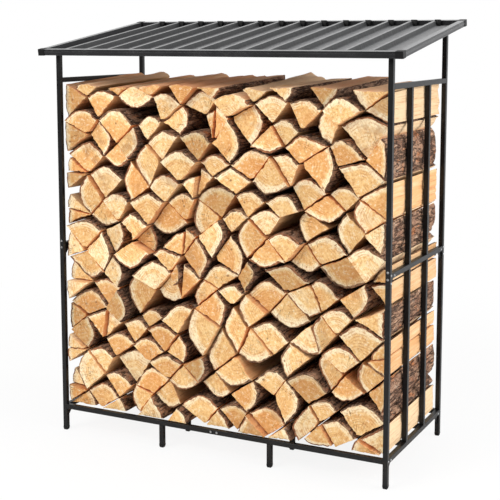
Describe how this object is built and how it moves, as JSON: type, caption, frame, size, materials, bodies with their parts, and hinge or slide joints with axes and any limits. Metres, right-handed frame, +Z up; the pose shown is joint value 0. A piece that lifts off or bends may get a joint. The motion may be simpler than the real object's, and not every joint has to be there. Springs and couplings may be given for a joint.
{
  "type": "log store",
  "caption": "Open rack of black square tube with barred sides, raised base rails and a ribbed roof that slopes to the front, stacked full of split firewood",
  "frame": {"origin": "on the ground, under the middle of the roof's outline", "axes": "+Z up, +Y from the open front to the rear, +X to the right as seen from the front"},
  "size_m": [1.286, 0.6472, 1.4274],
  "materials": {
    "frame_steel": "black powder coat, satin",
    "roof_sheet": "dark grey paint, satin",
    "plastic": "moulded black plastic",
    "firewood": "freshly split wood with bark"
  },
  "bodies": {
    "root": {"post_front_left_lower": "frame_steel", "post_front_right_lower": "frame_steel", "post_rear_left_lower": "frame_steel", "post_rear_right_lower": "frame_steel", "post_front_left_upper": "frame_steel", "post_front_right_upper": "frame_steel", "post_rear_left_upper": "frame_steel", "post_rear_right_upper": "frame_steel", "side_rail_left_bottom": "frame_steel", "side_rail_left_mid": "frame_steel", "side_rail_left_top": "frame_steel", "side_rail_right_bottom": "frame_steel", "side_rail_right_mid": "frame_steel", "side_rail_right_top": "frame_steel", "side_bars_left_lower": "frame_steel", "side_bars_left_upper": "frame_steel", "side_bars_right_lower": "frame_steel", "side_bars_right_upper": "frame_steel", "front_rail_left": "frame_steel", "front_rail_right": "frame_steel", "rear_rail_left": "frame_steel", "rear_rail_right": "frame_steel", "floor_rail_front": "frame_steel", "floor_rail_rear": "frame_steel", "middle_legs_front": "frame_steel", "middle_legs_floor_front": "frame_steel", "middle_legs_floor_rear": "frame_steel", "middle_legs_rear": "frame_steel", "foot_caps": "plastic", "base_gussets": "frame_steel", "splice_gussets": "frame_steel", "roof_front_bar_left": "frame_steel", "roof_front_bar_right": "frame_steel", "roof_rear_bar_left": "frame_steel", "roof_rear_bar_right": "frame_steel", "roof_side_bar_left": "frame_steel", "roof_side_bar_right": "frame_steel", "roof_corner_blocks": "plastic", "roof_sheet": "roof_sheet", "roof_bearer_left": "frame_steel", "roof_bearer_right": "frame_steel", "firewood_course_01": "firewood", "firewood_course_02": "firewood", "firewood_course_03": "firewood", "firewood_course_04": "firewood", "firewood_course_05": "firewood", "firewood_course_06": "firewood", "firewood_course_07": "firewood", "firewood_course_08": "firewood", "firewood_course_09": "firewood", "firewood_course_10": "firewood"}
  },
  "joints": []
}
